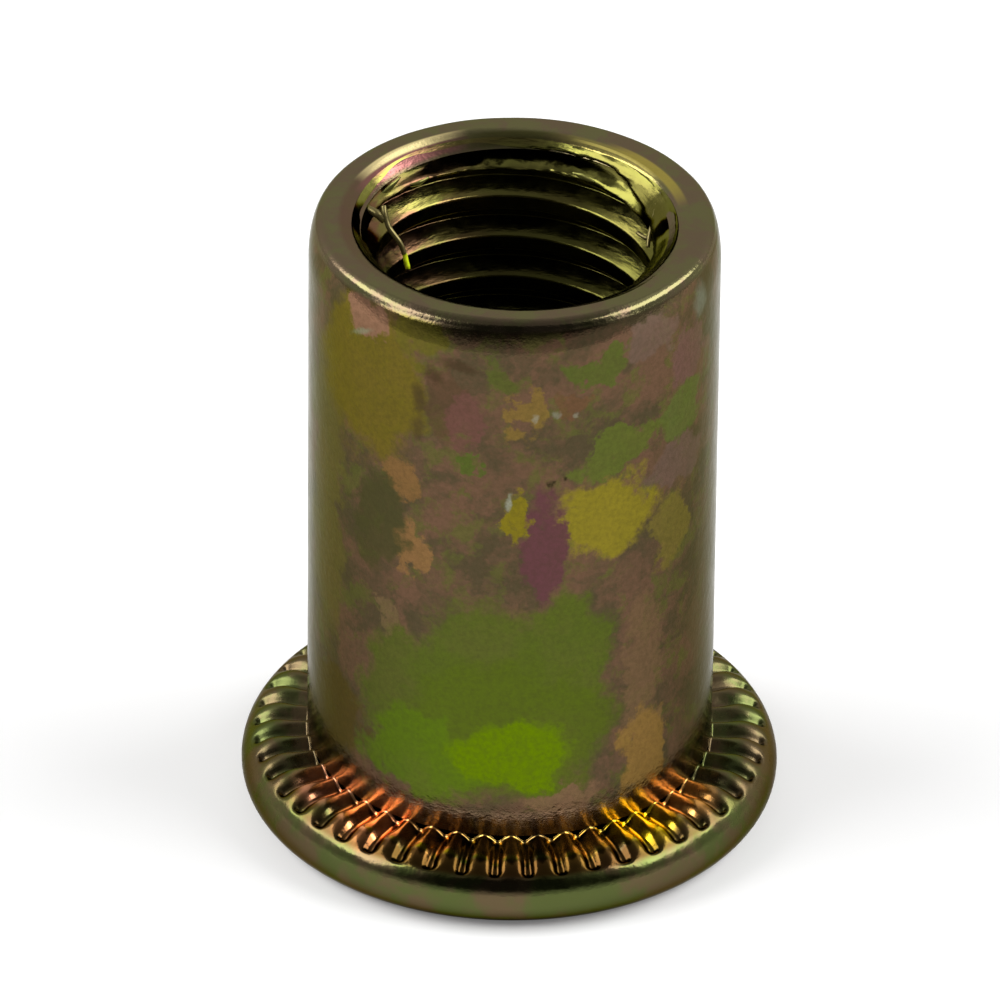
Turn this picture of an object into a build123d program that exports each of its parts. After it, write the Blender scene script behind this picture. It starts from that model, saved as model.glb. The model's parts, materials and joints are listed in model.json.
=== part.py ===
from build123d import *

import math
import os

# Open-end blind rivet nut: M10 thread, round shank, flat head with radial ribs under it.
#
# Millimetres. Z is the axis of the shank. The origin is the centre of the head's outer face, and
# +Z runs from the head to the threaded end.

# Shank
shank_d = 13.0            # fits a 13 mm hole
total_len = 21.35         # head face to threaded end
end_len = 1.35            # axial length of the rolled-in end
end_drop = 0.38           # how far the shank's side has rolled in at the end face

# Head
head_d = 17.25
head_thick = 2.3          # head face to the tops of the ribs
rim_lower_r = 1.05        # round between the head face and the rim's widest circle
rim_upper_w = 1.3         # radial width of the rounder side above that circle

# Ribs under the head, which grip the panel
rib_count = 48
rib_height = 0.35
rib_land = 0.02           # flat on top of a rib, where it meets the shank
rib_phase = 4.5           # angle of the first groove, from +X
root_grow = 0.1           # how much thicker the shank is at its root, in the grooves
root_rise = 0.15          # how far above the ribs the tapered root ends
groove_sink = 0.05        # how far the groove cutters reach into the shank

# Bore
thread_minor_d = 8.6      # M10 x 1.5, bored to the crests of its thread
thread_len = 10.6         # threaded length, from the end face
lip_w = 0.87              # flat end face, from its outer edge to the countersink
mouth_round = 0.18        # worn edge between the end face and the countersink
chamber_wall = 1.0        # thin wall that folds when the nut is set
chamber_edge = 0.3        # chamfer of the chamber at the head face

# Values that follow from those above
shank_r = shank_d / 2
head_r = head_d / 2
minor_r = thread_minor_d / 2
chamber_r = shank_r - chamber_wall
end_r = shank_r - end_drop
end_z = total_len - end_len
mouth_r = end_r - lip_w
mouth_z = total_len - (mouth_r - minor_r)
thread_z = total_len - thread_len
step_z = thread_z - (chamber_r - minor_r)
face_r = head_r - rim_lower_r
land_r = head_r - rim_upper_w
rim_upper_h = head_thick - rim_lower_r
groove_floor = head_thick - rib_height
root_r = shank_r + root_grow
root_top = head_thick + root_rise
groove_start = shank_r - groove_sink
groove_half_w = groove_start * math.tan(math.pi / rib_count) - rib_land / 2
cutter_top = head_thick + rib_height

# Cutter for one radial groove: its flanks are the rounded sides of two ribs
with BuildPart() as groove:
    with BuildSketch(Plane.YZ.offset(groove_start)):
        with BuildLine():
            TangentArc((groove_half_w, head_thick), (0, groove_floor), tangent=(-1, 0))
            TangentArc((-groove_half_w, head_thick), (0, groove_floor), tangent=(1, 0))
            Line((-groove_half_w, head_thick), (-groove_half_w, cutter_top))
            Line((-groove_half_w, cutter_top), (groove_half_w, cutter_top))
            Line((groove_half_w, cutter_top), (groove_half_w, head_thick))
        make_face()
    extrude(amount=head_r)

with BuildPart() as rivet_nut:
    # Head: a disc with a fully rounded rim
    with BuildSketch(Plane.XZ):
        with BuildLine():
            Line((chamber_r, 0), (face_r, 0))
            CenterArc((face_r, rim_lower_r), rim_lower_r, -90, 90)
            EllipticalCenterArc((land_r, rim_lower_r), rim_upper_w, rim_upper_h, 0, arc_size=90)
            Line((land_r, head_thick), (chamber_r, head_thick))
            Line((chamber_r, head_thick), (chamber_r, 0))
        make_face()
    revolve(axis=Axis.Z)

    # Ribs: what is left of the disc between radial grooves
    with PolarLocations(0, rib_count, start_angle=rib_phase):
        add(groove.part, mode=Mode.SUBTRACT)

    # Shank: thin-walled chamber next to the head, threaded wall at the far end
    with BuildSketch(Plane.XZ) as section:
        with BuildLine():
            Line((chamber_r, 0), (root_r, 0))
            Line((root_r, 0), (root_r, groove_floor))
            Line((root_r, groove_floor), (shank_r, root_top))
            Line((shank_r, root_top), (shank_r, end_z))
            EllipticalCenterArc((end_r, end_z), end_drop, end_len, 0, arc_size=90)
            Line((end_r, total_len), (mouth_r, total_len))
            Line((mouth_r, total_len), (minor_r, mouth_z))
            Line((minor_r, mouth_z), (minor_r, thread_z))
            Line((minor_r, thread_z), (chamber_r, step_z))
            Line((chamber_r, step_z), (chamber_r, 0))
        make_face()
        end_face_corners = section.vertices().group_by(Axis.Y)[-1]
        fillet(end_face_corners.sort_by(Axis.X)[0], mouth_round)
    revolve(axis=Axis.Z)

    # The chamber opens through the head with a small chamfer
    face_edges = rivet_nut.edges().filter_by(GeomType.CIRCLE).group_by(Axis.Z)[0]
    chamfer(face_edges.sort_by(SortBy.RADIUS)[0], chamber_edge)

rivet_nut.part.label = "rivet_nut"
os.makedirs("parts", exist_ok=True)
export_step(rivet_nut.part, "parts/rivet_nut.step")
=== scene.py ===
import json
import math

import bmesh
import bpy
import numpy as np
from mathutils import Matrix, Vector, noise

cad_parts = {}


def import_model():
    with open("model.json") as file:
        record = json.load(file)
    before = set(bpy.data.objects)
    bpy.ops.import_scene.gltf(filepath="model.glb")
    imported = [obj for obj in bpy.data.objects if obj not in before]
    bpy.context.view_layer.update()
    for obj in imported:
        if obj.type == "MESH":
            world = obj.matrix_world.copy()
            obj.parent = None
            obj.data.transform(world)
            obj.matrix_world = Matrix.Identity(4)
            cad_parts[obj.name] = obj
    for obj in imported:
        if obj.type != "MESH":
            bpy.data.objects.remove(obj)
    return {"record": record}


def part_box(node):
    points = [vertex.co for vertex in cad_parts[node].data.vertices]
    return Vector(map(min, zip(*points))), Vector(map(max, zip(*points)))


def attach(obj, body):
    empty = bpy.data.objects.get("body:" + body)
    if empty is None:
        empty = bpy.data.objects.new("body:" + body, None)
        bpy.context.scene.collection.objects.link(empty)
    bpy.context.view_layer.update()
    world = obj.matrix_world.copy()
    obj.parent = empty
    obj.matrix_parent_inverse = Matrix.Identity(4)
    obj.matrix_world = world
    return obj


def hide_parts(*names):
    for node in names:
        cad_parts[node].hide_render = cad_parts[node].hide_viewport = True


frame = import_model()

MM = 0.001
NODE, BODY, SLOT = "rivet_nut", "root", "zinc_plated_steel"
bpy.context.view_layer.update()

# ---------------------------------------------------------------- sizes, in millimetres
LOW, HIGH = (np.array(corner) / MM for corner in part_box(NODE))
MOUNTS = {mount["name"]: mount for mount in frame["record"]["mounts"]}
HEAD_R = float(min(*-LOW[:2], *HIGH[:2]))            # widest part of the head
TOP = float(HIGH[2])                                 # end face
SHANK_R = MOUNTS["shank"]["dims"]["r_mm"]
CHAMBER_R = MOUNTS["bolt_clearance"]["dims"]["r_mm"]
MINOR_R = MOUNTS["thread"]["dims"]["r_mm"]
RIB_TOP = MOUNTS["panel_seat"]["pos_m"][2] / MM

END_DROP, END_LEN = 0.38, 1.35    # rolled-in end of the shank
LIP_W = 0.87                      # flat end face
THREAD_LEN = 10.6
THREAD_Z = TOP - THREAD_LEN
MOUTH_R = SHANK_R - END_DROP - LIP_W
LIP_ROUNDS = [0.85, 0.32]         # inner and outer edge of the lip
FRONT_ROLL = 0.2                  # how much more the front of the end is rolled in
ROLL_AT, ROLL_SPREAD = 258, 46    # its azimuth and spread in degrees
# Bumps of the lip's inner edge: azimuth and spread in degrees, shift outwards
LIP_SHIFTS = [(125, 28, 0.17), (55, 26, -0.2), (310, 26, 0.16), (235, 30, -0.05)]
RIM_LOW_R, RIM_TOP_W = 1.05, 1.3  # rounded rim of the head
RIB_COUNT, RIB_PHASE = 48, 4.5
RIB_DEPTH = 0.27                  # of the valleys between the ribs
RUN_OUT_R, RUN_OUT_W = 8.32, 0.3  # where they end on the rim, and over what width
RIB_END_R, RIB_END_W = 7.98, 0.42   # dark ring over their outer ends at the front
RIB_FRONT = 268                   # azimuth of the ribs that face the camera
RIB_HALF_W, RIB_SPREAD = 0.375, 0.035   # half-width of a rib at the shank, and its gain per millimetre
FILLET_W, FILLET_RISE = 0.07, 0.07  # between the head and the shank
CHAMFER = 0.3                     # where the chamber leaves the head
SKIN_GAP = 0.006                  # how far the head's skin stays inside the solid

PITCH = 1.5                       # thread: pitch, radii and where its first crest stands
ROOT_R, CREST_R = 5.0, 4.37
CREST_AT_BACK = 20.72             # height of the first crest on the far wall
CREST_W, ROOT_W = 0.5, 0.17       # widths of the crest and of the root
FIRST_GROOVE_Z = 20.77            # half-cut groove in the countersink, on the far wall
FIRST_GROOVE_H, FIRST_GROOVE_DEPTH = 0.2, 0.5   # its half-height and its depth


# ---------------------------------------------------------------- mesh helpers
def make_object(name, verts, faces, materials=(), smooth=True):
    """A mesh object from points in millimetres."""
    mesh = bpy.data.meshes.new(name)
    mesh.from_pydata((np.asarray(verts) * MM).tolist(), [], faces)
    mesh.validate()
    for material in materials:
        mesh.materials.append(material)
    mesh.polygons.foreach_set("use_smooth", [smooth] * len(mesh.polygons))
    obj = bpy.data.objects.new(name, mesh)
    bpy.context.scene.collection.objects.link(obj)
    return obj


def piece(obj):
    """Registers obj as part of the rivet nut."""
    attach(obj, BODY)
    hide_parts(NODE)
    return obj


def weld(obj, gap=0.002):
    """Joins points that fell together and drops the faces between them."""
    bm = bmesh.new()
    bm.from_mesh(obj.data)
    bmesh.ops.remove_doubles(bm, verts=bm.verts, dist=gap * MM)
    bm.to_mesh(obj.data)
    bm.free()


def keep_flats_flat(obj):
    """Large faces keep their own direction where they meet small rounded ones."""
    mod = obj.modifiers.new("normals", "WEIGHTED_NORMAL")
    mod.weight = 100
    mod.keep_sharp = True


def ring_faces(rows, steps):
    """Quads between neighbouring rings of points."""
    quads = []
    for j in range(rows - 1):
        for i in range(steps):
            n = (i + 1) % steps
            quads.append((j * steps + i, j * steps + n, (j + 1) * steps + n, (j + 1) * steps + i))
    return quads


def rounded(points, radii, arc_steps=6):
    """A polyline whose inner corners are rounded, with a point close to each round."""
    points = [np.array(p, float) for p in points]
    out = [points[0]]
    for before, corner, after, radius in zip(points, points[1:], points[2:], radii):
        if radius == 0:
            out.append(corner)
            continue
        a = (before - corner) / np.linalg.norm(before - corner)
        b = (after - corner) / np.linalg.norm(after - corner)
        half = math.acos(float(np.clip(a @ b, -1, 1))) / 2
        reach = radius / math.tan(half)
        centre = corner + (a + b) / np.linalg.norm(a + b) * radius / math.sin(half)
        start, end = corner + a * reach - centre, corner + b * reach - centre
        turn = math.pi - 2 * half
        for k in range(arc_steps + 1):
            t = k / arc_steps
            out.append(centre + (math.sin((1 - t) * turn) * start + math.sin(t * turn) * end)
                       / math.sin(turn))
    out.append(points[-1])
    return out


def subdivided(points, longest):
    """The polyline with no step longer than that."""
    out = [points[0]]
    for a, b in zip(points, points[1:]):
        n = max(1, math.ceil(np.linalg.norm(b - a) / longest))
        out += [a + (b - a) * k / n for k in range(1, n + 1)]
    return np.array(out)


def wobble(x, y, z, scale, seed):
    """Smooth noise between about -1 and 1, at a point in millimetres."""
    return noise.noise(Vector((x, y, z)) / scale + Vector((seed * 17.3, seed * 5.1, seed * 9.7)))


def bump_at(angle, centre, width):
    """1 at that angle, falling to 0 about width away, all in degrees."""
    away = (angle - centre + 180) % 360 - 180
    return math.exp(-(away / width) ** 2)


# ---------------------------------------------------------------- shank, lip and chamber
def mouth_shift(angle):
    """How far the uneven inner edge of the lip stands from its even circle."""
    return sum(shift * bump_at(angle, azimuth, spread) for azimuth, spread, shift in LIP_SHIFTS)


def roll_in(r, z, angle):
    """How much further the front of the end is rolled in than the rest."""
    down = min(1.0, max(0.0, (z - TOP + 0.9) / 0.9))
    across = min(1.0, max(0.0, (r - MOUTH_R - 0.1) / 0.5))
    return FRONT_ROLL * bump_at(angle, ROLL_AT, ROLL_SPREAD) * down * across


def shell_rows():
    """The shank's section: out of the mouth, over the lip, down the side to the root."""
    turn = [(SHANK_R - END_DROP * (1 - math.cos(t)), TOP - END_LEN * (1 - math.sin(t)))
            for t in np.linspace(math.radians(78), 0, 20)]
    start = rounded([(MOUTH_R - 0.4, TOP - 0.4), (MOUTH_R, TOP), (turn[0][0] - 0.03, TOP), turn[3]],
                    LIP_ROUNDS, 12)
    side = [np.array(p) for p in turn[3:]] + [np.array((SHANK_R, RIB_TOP))]
    return subdivided(start[:-1] + side, 0.7)


def shank_shell(material):
    """The shank's outside, its rolled-in end and the lip, each a little uneven."""
    steps = 256
    rows = shell_rows()
    verts = []
    for r, z in rows:
        near_mouth = max(0.0, 1 - abs(r - MOUTH_R) / 0.45) if z > TOP - 0.6 else 0.0
        for i in range(steps):
            angle = 360 * i / steps
            c, s = math.cos(math.radians(angle)), math.sin(math.radians(angle))
            radius = r + near_mouth * mouth_shift(angle)
            radius += 0.008 * wobble(r * c, r * s, z, 3.0, 1) - roll_in(r, z, angle)
            height = z
            if z > TOP - 0.3:
                height += 0.02 * wobble(r * c, r * s, 0, 1.6, 2) - 0.02
            verts.append((radius * c, radius * s, height))
    obj = make_object("shank", verts, ring_faces(len(rows), steps), [material])
    keep_flats_flat(obj)
    return piece(obj)


def chamber_skin(material):
    """The wide bore behind the thread, open through the head face."""
    steps = 128
    step_h = CHAMBER_R - MINOR_R
    path = rounded([(MINOR_R, THREAD_Z + 0.3), (MINOR_R, THREAD_Z), (CHAMBER_R, THREAD_Z - step_h),
                    (CHAMBER_R, CHAMFER), (CHAMBER_R + CHAMFER, 0)], [0.05, 0.3, 0.05])
    rows = subdivided(path, 1.0)
    verts = [(r * math.cos(2 * math.pi * i / steps), r * math.sin(2 * math.pi * i / steps), z)
             for r, z in rows for i in range(steps)]
    obj = make_object("chamber", verts, ring_faces(len(rows), steps), [material])
    keep_flats_flat(obj)
    return piece(obj)


# ---------------------------------------------------------------- head with radial ribs
def smooth_low(a, b, k):
    """The lower of two heights, blended over k."""
    h = max(k - abs(a - b), 0.0) / k
    return min(a, b) - h * h * k / 4


def smooth_high(a, b, k):
    """The higher of two heights, blended over k."""
    return -smooth_low(-a, -b, k)


def groove_depth(r, angle):
    """How far the surface lies under the rib tops: round tops, steep flanks, narrow valleys that run out."""
    pitch = 360 / RIB_COUNT
    away = (angle - RIB_PHASE) % pitch - pitch / 2
    across = abs(r * math.sin(math.radians(away)))
    half_w = RIB_HALF_W + RIB_SPREAD * (r - SHANK_R)
    steep = 0.95 + 0.8 * min(1.0, max(0.0, (r - 7.0) / 0.7))
    top = -across * across / 1.2
    flank = -RIB_DEPTH + (half_w - across) * steep
    end = min(1.0, max(0.0, (RUN_OUT_R - r) / RUN_OUT_W))
    return -max(-RIB_DEPTH, smooth_low(top, flank, 0.12)) * end * end * (3 - 2 * end)


def rim_height(r):
    """Height of the head between the shank and its widest part, along the tops of the ribs."""
    out = min(1.0, max(0.0, (r - (HEAD_R - RIM_TOP_W)) / RIM_TOP_W))
    return RIM_LOW_R + (RIB_TOP - RIM_LOW_R) * math.sqrt(1 - out * out)


def root_rise(r):
    """A small fillet between the ribs and the shank."""
    t = min(1.0, max(0.0, (r - SHANK_R) / FILLET_W))
    return FILLET_RISE * (1 - math.sqrt(1 - (1 - t) ** 2))


def head_skin(material):
    """The head: from the shank over the ribs and the rim, and back under it to the chamber."""
    per_rib = 16
    steps = RIB_COUNT * per_rib
    radii = list(SHANK_R - 0.01 + (FILLET_W + 0.03) * np.linspace(0, 1, 10) ** 1.5)
    radii += list(np.linspace(SHANK_R + FILLET_W + 0.06, HEAD_R - RIM_TOP_W, 8))
    radii += [HEAD_R - RIM_TOP_W + RIM_TOP_W * math.sin(t)
              for t in np.linspace(0, math.pi / 2, 34)[1:]]
    low = [(HEAD_R - RIM_LOW_R + RIM_LOW_R * math.cos(t), RIM_LOW_R - RIM_LOW_R * math.sin(t))
           for t in np.linspace(0, math.pi / 2, 14)[1:]]
    low += [(HEAD_R - RIM_LOW_R - 0.05, 0), (CHAMBER_R + 0.9, 0), (CHAMBER_R + CHAMFER + 0.05, 0),
            (CHAMBER_R + CHAMFER, 0)]
    verts = []
    for r in radii:
        for i in range(steps):
            angle = RIB_PHASE + 360 * i / steps
            c, s = math.cos(math.radians(angle)), math.sin(math.radians(angle))
            high = rim_height(r) - groove_depth(r, angle) + root_rise(r)
            out = r - SKIN_GAP
            verts.append((out * c, out * s, high - SKIN_GAP / 2))
    for r, z in low:
        for i in range(steps):
            angle = math.radians(RIB_PHASE + 360 * i / steps)
            verts.append(((r - SKIN_GAP) * math.cos(angle), (r - SKIN_GAP) * math.sin(angle), z))
    rows = len(radii) + len(low)
    faces = [quad[::-1] for quad in ring_faces(rows, steps)]
    obj = make_object("ribbed_head", verts, faces, [material])
    return piece(obj)


# ---------------------------------------------------------------- thread
def thread_profile():
    """Radius over one pitch, from the middle of a crest to the middle of the next, per row."""
    flank = (PITCH - CREST_W - ROOT_W) / 2
    points = [(0, CREST_R), (CREST_W / 2, CREST_R), (CREST_W / 2 + flank, ROOT_R),
              (PITCH - CREST_W / 2 - flank, ROOT_R), (PITCH - CREST_W / 2, CREST_R), (PITCH, CREST_R)]
    line = subdivided(rounded(points, [0.13, 0.05, 0.05, 0.1], 5), 0.14)
    return line[:-1]


def first_groove(z, angle, rough):
    """Depth of the half-cut groove that the tap left in the countersink, on the far side."""
    reach = bump_at(angle, 88, 58)
    middle = FIRST_GROOVE_Z - 0.3 * max(0.0, (52 - angle) / 20) + 0.04 * rough
    out = abs(z - middle) / FIRST_GROOVE_H
    return 0.0 if out >= 1 else FIRST_GROOVE_DEPTH * reach * (1 - out ** 4)


def cone_radius(z, angle):
    """The countersink at the mouth, which follows the uneven edge of the lip."""
    return MOUTH_R + mouth_shift(angle) * max(0.0, 1 - (TOP - z) / 0.9) - (TOP - z)


def thread_skin(material):
    """The thread as one winding skin, which the countersink cuts off at the mouth."""
    steps = 240
    profile = thread_profile()
    per_pitch = len(profile)
    turns = math.ceil(THREAD_LEN / PITCH) + 2
    top_z = TOP - 0.14
    verts = []
    for k in range(-turns, 2):
        for dz, r in profile:
            for i in range(steps):
                angle = 360 * i / steps
                lead = PITCH * (angle - 90) / 360
                z = min(top_z, max(THREAD_Z, CREST_AT_BACK + k * PITCH + dz + lead))
                c, s = math.cos(math.radians(angle)), math.sin(math.radians(angle))
                rough = 0.6 * wobble(5 * c, 5 * s, z * 1.6, 0.7, 4) + 0.4 * wobble(5 * c, 5 * s, z, 0.25, 5)
                near = max(0.0, 1 - (TOP - z) / 2.0)
                cone = cone_radius(z, angle)
                if z > TOP - 1.4:
                    cone += first_groove(z, angle, rough)
                    # Torn metal below that groove.
                    flake = bump_at(angle, 95, 70) * max(0.0, 1 - abs(z - TOP + 1.05) / 0.3)
                    cone += 0.3 * flake * abs(wobble(5 * c, 5 * s, z * 2, 0.35, 6))
                radius = smooth_high(r + 0.12 * near * rough, cone, 0.02)
                verts.append((radius * c, radius * s, z))
    rows = (turns + 2) * per_pitch
    faces = []
    for j in range(rows - 1):
        for i in range(steps):
            if i < steps - 1:
                quad = (j * steps + i, j * steps + i + 1, (j + 1) * steps + i + 1,
                        (j + 1) * steps + i)
            else:
                # A turn ends one pitch further up, where the next one starts.
                up = j + per_pitch
                if up + 1 >= rows:
                    continue
                quad = (j * steps + i, up * steps, (up + 1) * steps, (j + 1) * steps + i)
            heights = [verts[v][2] for v in quad]
            if max(heights) - min(heights) < 1e-6 and max(heights) in (top_z, THREAD_Z):
                continue
            faces.append(quad[::-1])
    obj = make_object("thread", verts, faces, [material])
    weld(obj)
    return piece(obj)


# ---------------------------------------------------------------- burrs at the start of the thread
def ribbon(name, spine, widths, thick, material, steps=5):
    """A thin curled strip of metal. spine: points in millimetres. It stands with its width upright."""
    spine = [Vector(p) for p in spine]
    fine, wide = [], []
    for k in range(len(spine) - 1):
        for t in range(steps):
            u = t / steps
            before, after = spine[max(k - 1, 0)], spine[min(k + 2, len(spine) - 1)]
            a, b = spine[k], spine[k + 1]
            ta, tb = (b - before) / 2, (after - a) / 2
            h = (2 * u ** 3 - 3 * u ** 2 + 1, u ** 3 - 2 * u ** 2 + u,
                 -2 * u ** 3 + 3 * u ** 2, u ** 3 - u ** 2)
            fine.append(a * h[0] + ta * h[1] + b * h[2] + tb * h[3])
            wide.append(widths[k] * (1 - u) + widths[k + 1] * u)
    fine.append(spine[-1])
    wide.append(widths[-1])
    verts, faces = [], []
    for k, (p, w) in enumerate(zip(fine, wide)):
        along = (fine[min(k + 1, len(fine) - 1)] - fine[max(k - 1, 0)]).normalized()
        inward = Vector((-p.x, -p.y, 0)).normalized()
        across = along.cross(inward).normalized()
        out = across.cross(along).normalized()
        ragged = 1 + 0.35 * wobble(p.x, p.y, p.z, 0.12, 11)
        for side, lift in ((-1, 0), (-0.5, 0.6), (0.5, 0.6), (1, 0), (0.5, -0.6), (-0.5, -0.6)):
            verts.append(tuple(p + across * (side * w / 2 * ragged) + out * (lift * thick)))
        if k:
            for i in range(6):
                n = (i + 1) % 6
                faces.append(((k - 1) * 6 + i, (k - 1) * 6 + n, k * 6 + n, k * 6 + i))
    faces += [tuple(range(5, -1, -1)), tuple(range(len(verts) - 6, len(verts)))]
    return piece(make_object(name, verts, faces, [material]))


def burrs(torn, bright, green):
    """A knot at the left with a sliver and its bright tip, a flake and a chip at the right, three crumbs."""
    ribbon("burr_sliver",
           [(-4.16, 1.25, 21.0), (-4.1, 1.12, 20.75), (-3.98, 0.95, 20.4), (-3.78, 0.8, 20.15),
            (-3.6, 0.7, 19.92), (-3.48, 0.62, 19.6)],
           [0.1, 0.26, 0.22, 0.16, 0.13, 0.12], 0.13, torn)
    ribbon("burr_knot",
           [(-4.66, 1.3, 20.85), (-4.35, 1.16, 20.75), (-4.1, 1.05, 20.55)],
           [0.12, 0.34, 0.12], 0.2, torn)
    ribbon("burr_tip",
           [(-3.48, 0.62, 19.62), (-3.45, 0.6, 19.5), (-3.42, 0.57, 19.35), (-3.38, 0.54, 19.2),
            (-3.37, 0.53, 19.1)],
           [0.05, 0.1, 0.15, 0.13, 0.03], 0.13, bright)
    ribbon("burr_flake",
           [(4.5, 2.0, 20.95), (4.42, 1.6, 20.7), (4.3, 1.15, 20.42), (4.22, 0.8, 20.15),
            (4.2, 0.6, 19.95)],
           [0.1, 0.22, 0.24, 0.2, 0.08], 0.1, torn)
    ribbon("burr_chip",
           [(4.66, 1.1, 19.98), (4.2, 1.12, 19.95), (3.85, 1.4, 20.02)],
           [0.1, 0.2, 0.08], 0.1, torn)
    ribbon("burr_crumb_1",
           [(-4.34, 2.32, 20.68), (-3.9, 2.68, 20.85), (-3.65, 3.05, 20.95)],
           [0.06, 0.28, 0.04], 0.05, green)
    ribbon("burr_crumb_2",
           [(-3.58, 3.18, 20.5), (-3.05, 3.3, 20.58), (-2.75, 3.55, 20.65)],
           [0.05, 0.22, 0.04], 0.05, green)
    ribbon("burr_crumb_3",
           [(1.8, 4.0, 20.6), (2.12, 3.84, 20.55), (2.5, 3.62, 20.5)],
           [0.05, 0.26, 0.05], 0.06, green)


# ---------------------------------------------------------------- materials
class Nodes:
    """Short names for adding and wiring the shader nodes of a material or of the world."""

    def __init__(self, owner):
        owner.use_nodes = True
        self.owner = owner
        self.tree = owner.node_tree
        self.tree.nodes.clear()
        self.places = self.add("ShaderNodeTexCoord").outputs
        self.where = self.places["Object"]

    def add(self, kind, inputs=None, **settings):
        node = self.tree.nodes.new(kind)
        for key, value in settings.items():
            setattr(node, key, value)
        for key, value in (inputs or {}).items():
            self.put(node.inputs[key], value)
        return node

    def put(self, socket, value):
        if isinstance(value, bpy.types.NodeSocket):
            self.tree.links.new(value, socket)
        else:
            socket.default_value = value

    def noise(self, scale, detail=3.0, rough=0.5, where=None, distortion=0.0):
        """Noise whose cells are about that many millimetres."""
        return self.add("ShaderNodeTexNoise", {"Vector": where or self.where, "Scale": 1 / (scale * MM),
                                               "Detail": detail, "Roughness": rough,
                                               "Distortion": distortion})

    def range(self, value, low, high, to_low=0.0, to_high=1.0):
        """Goes smoothly from to_low to to_high while value goes from low to high."""
        node = self.add("ShaderNodeMapRange", {"Value": value, "From Min": low, "From Max": high,
                                               "To Min": to_low, "To Max": to_high},
                        interpolation_type="SMOOTHSTEP")
        return node.outputs["Result"]

    def math(self, op, a, b=0.0):
        return self.add("ShaderNodeMath", {0: a, 1: b}, operation=op).outputs[0]

    def mix(self, factor, a, b):
        """Mixes two colours."""
        return self.add("ShaderNodeMix", {"Factor": factor, 6: a, 7: b}, data_type="RGBA").outputs[2]

    def height(self, where=None):
        return self.add("ShaderNodeSeparateXYZ", {0: where or self.where}).outputs["Z"]

    def warped(self, amount, scale):
        """Coordinates pushed about by noise, so that patches get uneven edges."""
        push = self.noise(scale, 5.0, 0.66).outputs["Color"]
        centred = self.add("ShaderNodeVectorMath", {0: push, 1: (0.5, 0.5, 0.5)}, operation="SUBTRACT")
        scaled = self.add("ShaderNodeVectorMath", {0: centred.outputs[0], "Scale": amount * MM},
                          operation="SCALE")
        return self.add("ShaderNodeVectorMath", {0: self.where, 1: scaled.outputs[0]},
                        operation="ADD").outputs[0]

    def radius(self):
        """Distance from the axis."""
        flat = self.add("ShaderNodeVectorMath", {0: self.where, 1: (1, 1, 0)}, operation="MULTIPLY")
        return self.add("ShaderNodeVectorMath", {0: flat.outputs[0]}, operation="LENGTH").outputs["Value"]

    def ring_patch(self, azimuth, spread, radius, width, strength):
        """Strength on an arc around the axis, falling off over its spread and its width."""
        a = math.radians(azimuth)
        far = self.radius()
        ahead = self.add("ShaderNodeVectorMath", {0: self.where, 1: (math.cos(a), math.sin(a), 0)},
                         operation="DOT_PRODUCT").outputs["Value"]
        along = self.range(self.math("DIVIDE", ahead, far), math.cos(math.radians(spread)), 1.0,
                           0.0, strength)
        off = self.math("ABSOLUTE", self.math("SUBTRACT", far, radius * MM))
        return self.math("MULTIPLY", along, self.range(off, width * 0.5 * MM, width * MM, 1.0, 0.0))

    def finish(self, colour, roughness, height, bump, edge, metal=1.0):
        bump_node = self.add("ShaderNodeBump", {"Height": height, "Strength": 1.0, "Distance": bump * MM})
        surface = self.add("ShaderNodeBsdfPrincipled", {
            "Base Color": colour, "Roughness": roughness, "Metallic": metal,
            "Specular Tint": edge, "Normal": bump_node.outputs[0]})
        self.add("ShaderNodeOutputMaterial", {"Surface": surface.outputs[0]})
        return self.owner


def new_material(name):
    return Nodes(bpy.data.materials.new(name))


def srgb(r, g, b):
    """A linear colour from 0-255 values."""
    def lift(v):
        v /= 255
        return v / 12.92 if v <= 0.04045 else ((v + 0.055) / 1.055) ** 2.4
    return (lift(r), lift(g), lift(b), 1.0)


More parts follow.
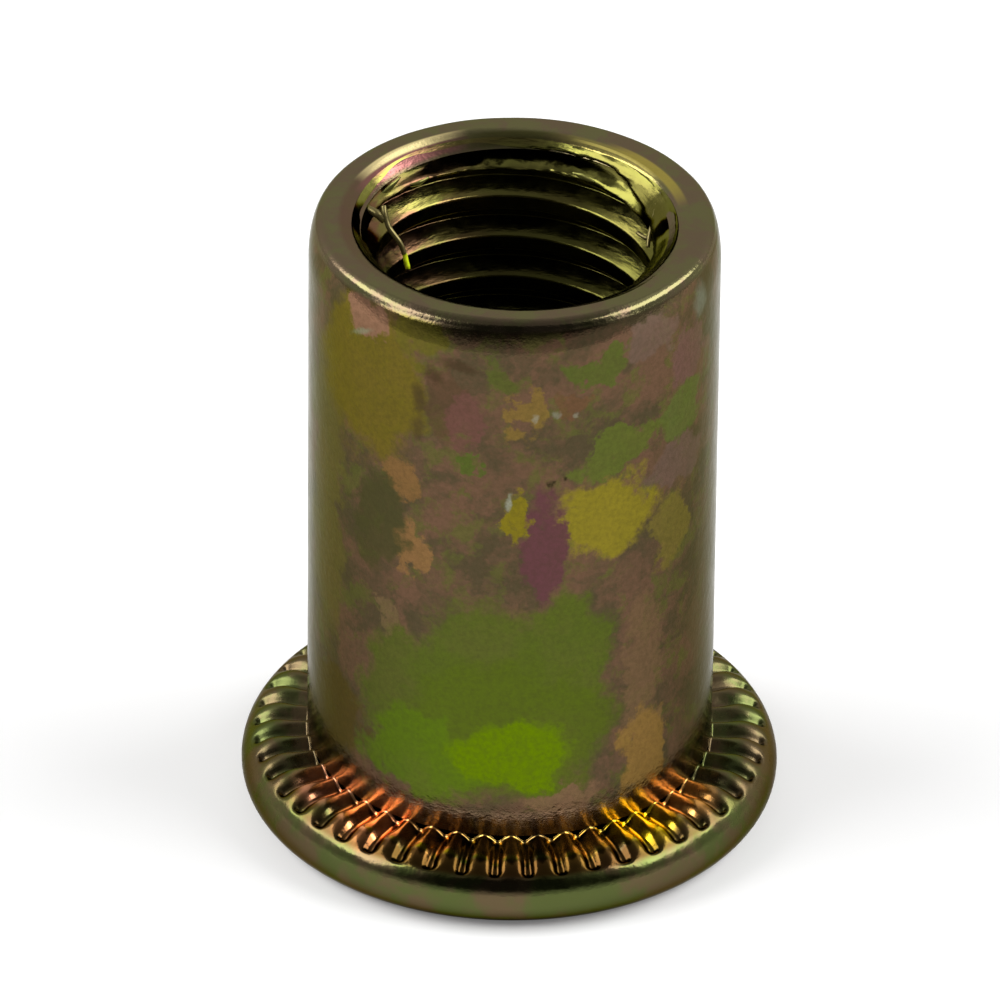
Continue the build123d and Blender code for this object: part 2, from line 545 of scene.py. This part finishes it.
# Stains of the passivated zinc on the shank: azimuth and height of the middle, half-width and
# half-height in millimetres, lean in degrees, strength, colour.
STAINS = [
    (205, 13.0, 1.2, 6.0, 0, 0.8, (96, 88, 44)),      # olive down the left side
    (225, 18.4, 2.2, 3.0, 0, 0.85, (104, 92, 26)),    # olive yellow, upper left
    (225, 20.6, 0.9, 0.7, 0, 0.9, (134, 98, 78)),     # pink by the end
    (243, 20.4, 0.8, 1.0, 0, 0.8, (98, 92, 30)),
    (251, 18.2, 0.8, 1.4, 0, 0.6, (84, 62, 44)),
    (258, 17.7, 0.7, 1.1, 0, 0.85, (104, 70, 62)),    # violet, upper middle
    (265, 19.6, 0.7, 0.5, 0, 0.7, (78, 86, 36)),
    (293, 19.5, 1.0, 0.5, -10, 0.8, (78, 92, 34)),
    (273, 18.4, 0.5, 1.2, 0, 0.8, (124, 100, 48)),
    (286, 18.2, 0.5, 0.5, 0, 0.7, (104, 74, 50)),
    (311, 19.9, 1.1, 0.8, 0, 0.7, (110, 88, 76)),     # violet grey, upper right
    (328, 18.6, 1.0, 1.2, 0, 0.8, (108, 78, 72)),
    (324, 16.6, 1.2, 1.0, 0, 0.8, (88, 100, 46)),     # green, right
    (301, 16.3, 1.7, 0.6, -20, 0.85, (88, 98, 38)),   # slanting green streak
    (258, 16.3, 0.5, 0.3, 0, 0.8, (76, 92, 34)),
    (324, 14.9, 1.4, 0.8, 0, 0.7, (106, 84, 74)),
    (299, 14.0, 1.7, 1.5, 10, 0.95, (130, 118, 34)),  # yellow, right of the middle
    (320, 12.6, 0.9, 1.2, 0, 0.7, (118, 106, 44)),
    (269, 14.2, 0.5, 1.0, 0, 0.9, (124, 112, 24)),
    (279, 13.1, 0.9, 2.2, 0, 0.95, (94, 58, 62)),     # violet, middle
    (238, 15.2, 0.7, 1.0, 0, 0.9, (124, 92, 54)),     # orange, left
    (242, 12.5, 0.6, 1.2, 0, 0.9, (132, 98, 60)),
    (230, 13.2, 1.3, 1.8, 0, 0.8, (70, 68, 38)),      # dark green between them
    (233, 9.6, 0.4, 0.8, 0, 0.7, (114, 94, 64)),
    (285, 8.9, 1.7, 2.3, 0, 0.85, (80, 94, 28)),      # large green patch, lower front
    (262, 8.6, 2.2, 2.4, 0, 0.85, (80, 92, 30)),
    (244, 7.0, 2.3, 2.5, 0, 0.8, (80, 92, 30)),
    (270, 6.2, 3.4, 2.7, 0, 0.9, (80, 94, 24)),
    (243, 4.9, 2.2, 1.5, 0, 0.8, (84, 108, 18)),
    (271, 5.4, 1.8, 1.4, 0, 0.9, (94, 120, 0)),       # its brightest part
    (284, 3.5, 1.3, 0.6, 0, 0.8, (120, 92, 68)),
    (310, 7.6, 0.8, 3.0, 0, 0.75, (112, 88, 62)),     # tan streak down the right
    (312, 4.4, 1.0, 1.8, 0, 0.8, (140, 108, 54)),
    (210, 5.2, 1.7, 1.4, 0, 0.8, (82, 68, 30)),
    (345, 8.0, 1.4, 5.0, 0, 0.6, (92, 78, 54)),
]

# Small scuffs, scratches and dark marks on the shank, in the same terms.
MARKS = [
    (255, 19.8, 0.8, 0.25, 10, 0.7, (66, 50, 34)),    # dark hooked mark
    (247, 19.3, 0.5, 0.35, 35, 0.7, (66, 50, 34)),
    (243, 18.3, 0.3, 0.7, 0, 0.7, (66, 52, 34)),
    (243, 17.2, 0.3, 0.6, 0, 0.6, (70, 56, 36)),
    (223, 19.9, 0.6, 0.15, -30, 0.6, (130, 138, 110)),  # pale scuffs
    (334, 20.2, 0.5, 0.7, 0, 0.5, (130, 136, 120)),
    (276, 18.0, 0.12, 0.22, 20, 0.5, (150, 148, 130)),
    (282, 18.1, 0.15, 0.2, -20, 0.45, (140, 140, 124)),
    (288, 18.0, 0.12, 0.15, 0, 0.45, (150, 150, 130)),
    (269, 14.9, 0.12, 0.4, 10, 0.8, (146, 148, 130)),
    (281, 15.6, 0.14, 0.14, 0, 0.8, (28, 26, 14)),
    (285, 15.7, 0.1, 0.1, 0, 0.8, (28, 26, 14)),
]

# Tints on the inner round of the lip. They stand in for what it reflects in the photo, and stay put under
# other light. Azimuth, spread in degrees, radius, width, strength, colour.
LIP_TINTS = [
    (165, 60, 5.2, 0.45, 0.6, (92, 66, 56)),
    (134, 30, 5.15, 0.26, 0.8, (136, 86, 84)),
    (131, 26, 5.47, 0.17, 1.0, (238, 218, 156)),
    (52, 30, 5.15, 0.3, 0.85, (132, 122, 66)),
    (50, 22, 5.2, 0.08, 0.9, (206, 190, 104)),
    (34, 26, 5.38, 0.2, 0.8, (160, 144, 66)),
    (90, 24, 5.15, 0.3, 0.7, (64, 62, 26)),
]

# Painted shadow: dark patches at the left and right of the mouth, where the photo has shadow: azimuth,
# radius, height, half-width, half-height, lean, strength, colour.
THREAD_PAINTED_SHADOWS = [
    (176, 4.8, 20.4, 1.2, 1.1, 0, 0.9, (20, 16, 8)),
    (40, 4.8, 20.12, 1.0, 0.3, 0, 0.75, (34, 32, 12)),
    (20, 4.8, 20.25, 0.9, 0.4, 0, 0.8, (34, 32, 12)),
    (6, 4.8, 20.5, 0.45, 0.8, 0, 0.85, (24, 20, 10)),
]

# Gold and orange tints of the ribs: azimuth, radius, half-size, strength, colour.
RIB_STAINS = [
    (212, 6.9, 1.2, 0.8, (210, 140, 104)), (232, 6.9, 1.4, 1.0, (255, 168, 112)),
    (250, 6.9, 1.2, 0.85, (204, 150, 84)), (268, 6.9, 1.2, 0.85, (196, 160, 84)),
    (288, 6.9, 1.2, 0.85, (214, 170, 78)), (307, 6.9, 1.3, 0.95, (250, 212, 40)),
    (324, 6.9, 1.1, 0.85, (236, 170, 92)),
]


def stains_and_painted_shade(n, colour, where, stains, soft=0.8):
    """Lays each stain, or patch of painted shade, over colour: (azimuth, radius, z, half-width, half-height,
    lean, strength, tint).
    """
    for azimuth, radius, z, half_w, half_h, lean, strength, tint in stains:
        a = math.radians(azimuth)
        spot = n.add("ShaderNodeMapping", {
            "Vector": where, "Location": (radius * MM * math.cos(a), radius * MM * math.sin(a), z * MM),
            "Rotation": (0, math.radians(lean), a + math.pi / 2),
            "Scale": (half_w * MM, half_w * MM, half_h * MM)}, vector_type="TEXTURE")
        far = n.add("ShaderNodeVectorMath", {0: spot.outputs[0]}, operation="LENGTH").outputs["Value"]
        colour = n.mix(n.range(far, soft, 1.15, strength, 0.0), colour, srgb(*tint))
    return colour


def plated_steel():
    """Satin passivated zinc: olive brown with soft stains of green, yellow, violet and orange."""
    n = new_material("passivated_zinc")
    where = n.warped(3.2, 1.5)
    cloud = n.noise(2.2, 4.0, 0.6, where).outputs["Fac"]
    cloud_2 = n.noise(1.1, 5.0, 0.65, n.warped(1.2, 0.8)).outputs["Fac"]
    colour = n.mix(n.range(cloud, 0.38, 0.6), srgb(78, 68, 48), srgb(104, 78, 60))
    colour = n.mix(n.range(cloud_2, 0.5, 0.64, 0, 0.7), colour, srgb(88, 90, 42))
    stains = [(azimuth, SHANK_R, *rest) for azimuth, *rest in STAINS]
    colour = stains_and_painted_shade(n, colour, where, stains)
    marks = [(azimuth, SHANK_R, *rest) for azimuth, *rest in MARKS]
    colour = stains_and_painted_shade(n, colour, n.warped(0.5, 0.4), marks, 0.3)
    grain = n.noise(0.16, 3.0, 0.7).outputs["Fac"]
    colour = n.mix(n.range(grain, 0.3, 0.75, 0.0, 0.3), colour, srgb(56, 50, 30))
    height_up = n.height()
    lip = n.mix(n.range(cloud_2, 0.4, 0.6), srgb(96, 92, 62), srgb(98, 84, 66))
    for azimuth, spread, radius, width, strength, tint in LIP_TINTS:
        lip = n.mix(n.ring_patch(azimuth, spread, radius, width, strength), lip, srgb(*tint))
    inner = n.range(n.radius(), (MOUTH_R + 0.4) * MM, (MOUTH_R + 0.5) * MM, 1.0, 0.0)
    on_lip = n.math("MAXIMUM", inner, n.range(height_up, (TOP - 0.4) * MM, (TOP - 0.25) * MM))
    on_lip = n.math("MULTIPLY", on_lip, n.range(height_up, (TOP - 0.8) * MM, (TOP - 0.7) * MM))
    colour = n.mix(on_lip, colour, lip)
    # Painted light: a pale band at the foot of the shank, which the ribs mirror.
    root = n.range(height_up, (RIB_TOP + 0.55) * MM, (RIB_TOP + 1.0) * MM, 0.6, 0.0)
    colour = n.mix(root, colour, srgb(184, 150, 118))
    roughness = n.range(n.noise(1.1, 3.0, 0.6).outputs["Fac"], 0.3, 0.7, 0.13, 0.22)
    height = n.math("ADD", n.math("MULTIPLY", grain, 0.5), n.noise(0.5, 4.0, 0.6).outputs["Fac"])
    return n.finish(colour, roughness, height, 0.014, (0.58, 0.58, 0.5, 1))


def glossy_plating():
    """The pressed head: the same plating, smoother, with gold and orange tints on the ribs."""
    n = new_material("pressed_plating")
    where = n.warped(1.4, 1.2)
    tint = n.noise(1.5, 3.0, 0.5, where).outputs["Fac"]
    colour = n.mix(n.range(tint, 0.38, 0.6), srgb(98, 84, 60), srgb(84, 92, 50))
    colour = n.mix(n.range(n.noise(1.9, 3.0, 0.5, where).outputs["Fac"], 0.55, 0.7, 0, 0.6), colour,
                   srgb(112, 88, 70))
    stains = [(azimuth, radius, RIB_TOP, size, size * 0.8, 0, strength, tint_of)
              for azimuth, radius, size, strength, tint_of in RIB_STAINS]
    colour = stains_and_painted_shade(n, colour, n.warped(0.8, 1.0), stains, 0.55)
    # Duller away from the front, and darker there in colour: painted shade.
    duller_and_shaded = n.math("SUBTRACT", 0.14, n.ring_patch(RIB_FRONT, 80, 7.6, 4.0, 0.14))
    colour = n.mix(n.math("MULTIPLY", duller_and_shaded, 1.8), colour, srgb(48, 42, 34))
    # The dark ring and the lower edge tint hold down the lamps' reflections at the ends of the front ribs.
    colour = n.mix(n.ring_patch(RIB_FRONT, 85, RIB_END_R, RIB_END_W, 0.92), colour, srgb(62, 40, 14))
    roughness = n.math("ADD", duller_and_shaded, n.range(n.noise(0.7, 3.0, 0.6).outputs["Fac"], 0.3, 0.7, 0.1, 0.2))
    height = n.noise(0.45, 4.0, 0.6).outputs["Fac"]
    edge = n.mix(n.ring_patch(RIB_FRONT, 85, RIB_END_R, RIB_END_W, 0.8), (0.5, 0.46, 0.38, 1),
                 (0.12, 0.1, 0.05, 1))
    return n.finish(colour, roughness, height, 0.012, edge)


def thread_steel():
    """The cut thread: streaks along its turns, and painted shade that darkens it further down."""
    n = new_material("cut_thread")
    along = n.add("ShaderNodeVectorMath", {0: n.where, 1: (0.25, 0.25, 1.6)}, operation="MULTIPLY").outputs[0]
    tint = n.noise(0.9, 3.0, 0.5, along).outputs["Fac"]
    colour = n.mix(n.range(tint, 0.38, 0.62), srgb(112, 110, 54), srgb(100, 92, 50))
    streak = n.range(n.noise(0.5, 3.0, 0.5, along).outputs["Fac"], 0.42, 0.58)
    pink = n.math("MULTIPLY", n.ring_patch(155, 60, 4.6, 3.0, 0.85), streak)
    colour = n.mix(pink, colour, srgb(104, 70, 56))
    colour = n.mix(n.ring_patch(28, 60, 4.8, 1.6, 0.65), colour, srgb(78, 76, 34))
    # Painted shade: darker further down the bore.
    depth = n.range(n.height(), (TOP - 4.5) * MM, (TOP - 1.5) * MM, 0.6, 0.0)
    colour = n.mix(depth, colour, srgb(26, 24, 8))
    # Painted shade in the half-cut first groove on the far wall: it darkens the colour and the reflection's
    # tint.
    uneven = n.height(n.warped(0.3, 0.5))
    off = n.math("ABSOLUTE", n.math("SUBTRACT", uneven, FIRST_GROOVE_Z * MM))
    painted_groove_shade = n.math("MULTIPLY", n.range(off, 0.14 * MM, FIRST_GROOVE_H * MM, 1.0, 0.0),
                       n.ring_patch(84, 76, 4.8, 1.4, 0.93))
    colour = n.mix(painted_groove_shade, colour, srgb(16, 14, 4))
    pushed = n.warped(0.6, 0.6)
    # Painted shadow at the left and right of the mouth, on the colour and on the reflection's tint.
    colour = stains_and_painted_shade(n, colour, pushed, THREAD_PAINTED_SHADOWS)
    edge = stains_and_painted_shade(n, n.mix(painted_groove_shade, (0.6, 0.6, 0.42, 1), (0.05, 0.05, 0.03, 1)), pushed, THREAD_PAINTED_SHADOWS)
    roughness = n.range(n.noise(0.4, 3.0, 0.6).outputs["Fac"], 0.3, 0.7, 0.14, 0.24)
    height = n.noise(0.3, 4.0, 0.6, along).outputs["Fac"]
    return n.finish(colour, roughness, height, 0.02, edge)


def torn_metal(name, colour, metal):
    """Torn slivers at the start of the thread."""
    n = new_material(name)
    height = n.noise(0.2, 2.0, 0.5).outputs["Fac"]
    return n.finish(colour, 0.35, height, 0.01, (0.9, 0.9, 0.7, 1), metal)


# ---------------------------------------------------------------- floor, light and camera
def floor():
    """A white sheet under the nut, which ends a short way in front of it."""
    n = new_material("floor")
    lit = n.add("ShaderNodeBsdfDiffuse", {"Color": (0.84, 0.84, 0.84, 1)})
    seen = n.add("ShaderNodeLightPath").outputs["Is Camera Ray"]
    lift = n.add("ShaderNodeEmission", {"Strength": n.math("MULTIPLY", seen, 0.12)})
    surface = n.add("ShaderNodeAddShader", {0: lit.outputs[0], 1: lift.outputs[0]})
    n.add("ShaderNodeOutputMaterial", {"Surface": surface.outputs[0]})
    front, side = -70, 200
    sheet = [(-side, front, 0), (side, front, 0), (side, side, 0), (-side, side, 0)]
    obj = make_object("floor", sheet, [(0, 1, 2, 3)], [n.owner], smooth=False)
    obj.location.z = -0.02 * MM


def softbox(name, azimuth, elevation, distance, width, height, strength):
    """An area lamp that faces the nut. Sizes in millimetres, azimuth from +X."""
    lamp = bpy.data.lights.new(name, "AREA")
    lamp.shape = "RECTANGLE"
    lamp.size, lamp.size_y = width * MM, height * MM
    a, e = math.radians(azimuth), math.radians(elevation)
    out = Vector((math.cos(a) * math.cos(e), math.sin(a) * math.cos(e), math.sin(e)))
    lamp.energy = strength * math.pi * width * height * MM * MM
    obj = bpy.data.objects.new(name, lamp)
    obj.location = Vector((0, 0, TOP / 2 * MM)) + out * distance * MM
    obj.rotation_mode = "QUATERNION"
    obj.rotation_quaternion = out.to_track_quat("Z", "Y")
    bpy.context.scene.collection.objects.link(obj)
    return obj


def world():
    """White where the camera sees it. Mirrors see a pale studio behind, darker in front and above."""
    n = Nodes(bpy.data.worlds.new("studio"))
    bpy.context.scene.world = n.owner
    toward = n.add("ShaderNodeSeparateXYZ", {0: n.places["Generated"]}).outputs
    beside = n.range(toward["Y"], -0.72, -0.45, 0.03, 0.42)
    behind = n.math("ADD", beside, n.range(toward["Y"], -0.45, 0.6, 0.0, 0.53))
    pale = n.math("MULTIPLY", behind, n.range(toward["Z"], 0.6, 0.95, 1.0, 0.55))
    # A patch to each side, high up behind, for the highlights inside the lip.
    patches = n.range(n.math("ABSOLUTE", toward["X"]), 0.2, 0.4)
    for axis, low, high, to_low, to_high in (("Z", 0.68, 0.78, 0.0, 1.0), ("Z", 0.86, 0.92, 0.8, 0.0),
                                             ("Y", 0.0, 0.2, 0.0, 1.0)):
        patches = n.math("MULTIPLY", patches, n.range(toward[axis], low, high, to_low, to_high))
    pale = n.math("ADD", pale, patches)
    # Bright at the horizon and below, all round.
    pale = n.math("MAXIMUM", pale, n.range(toward["Z"], 0.05, 0.27, 0.7, 0.0))
    ray = n.add("ShaderNodeLightPath").outputs
    mirrored = n.math("MAXIMUM", ray["Is Glossy Ray"], ray["Is Transmission Ray"])
    level = n.add("ShaderNodeMix", {0: mirrored, 2: 0.3, 3: pale}).outputs[0]
    level = n.add("ShaderNodeMix", {0: ray["Is Camera Ray"], 2: level, 3: 1.0}).outputs[0]
    light = n.add("ShaderNodeBackground", {"Color": (1, 1, 1, 1), "Strength": level})
    n.add("ShaderNodeOutputWorld", {"Surface": light.outputs[0]})


def camera():
    """A long lens from in front and above, leaning by 0.6 degrees."""
    elevation, distance, lens, roll = 32.93, 465.4, 526.2, -0.608
    aim = Vector((0, 0, 10.4)) * MM
    e = math.radians(elevation)
    back = Vector((0, -math.cos(e), math.sin(e)))
    turn = back.to_track_quat("Z", "Y").to_matrix() @ Matrix.Rotation(math.radians(-roll), 3, "Z")
    data = bpy.data.cameras.new("camera")
    data.lens, data.sensor_width = lens, 36
    data.clip_start, data.clip_end = 0.01, 10
    obj = bpy.data.objects.new("camera", data)
    obj.location = aim + back * distance * MM + turn @ Vector((-0.38, 0.34, 0)) * MM
    obj.rotation_euler = turn.to_euler()
    bpy.context.scene.collection.objects.link(obj)
    bpy.context.scene.camera = obj


def main():
    bpy.context.scene.view_settings.view_transform = "Standard"
    plated, glossy, cut = plated_steel(), glossy_plating(), thread_steel()
    shank_shell(plated)
    chamber_skin(plated)
    head_skin(glossy)
    thread_skin(cut)
    torn = torn_metal("torn_metal", srgb(112, 102, 62), 0.7)
    bright = torn_metal("torn_tip", srgb(235, 255, 40), 0.2)
    green = torn_metal("torn_crumb", srgb(134, 132, 70), 0.8)
    burrs(torn, bright, green)
    floor()
    for side, azimuth in (("left", 184), ("right", 358)):
        softbox("softbox_" + side, azimuth, elevation=38, distance=260, width=260, height=130, strength=7)
    world()
    camera()


main()
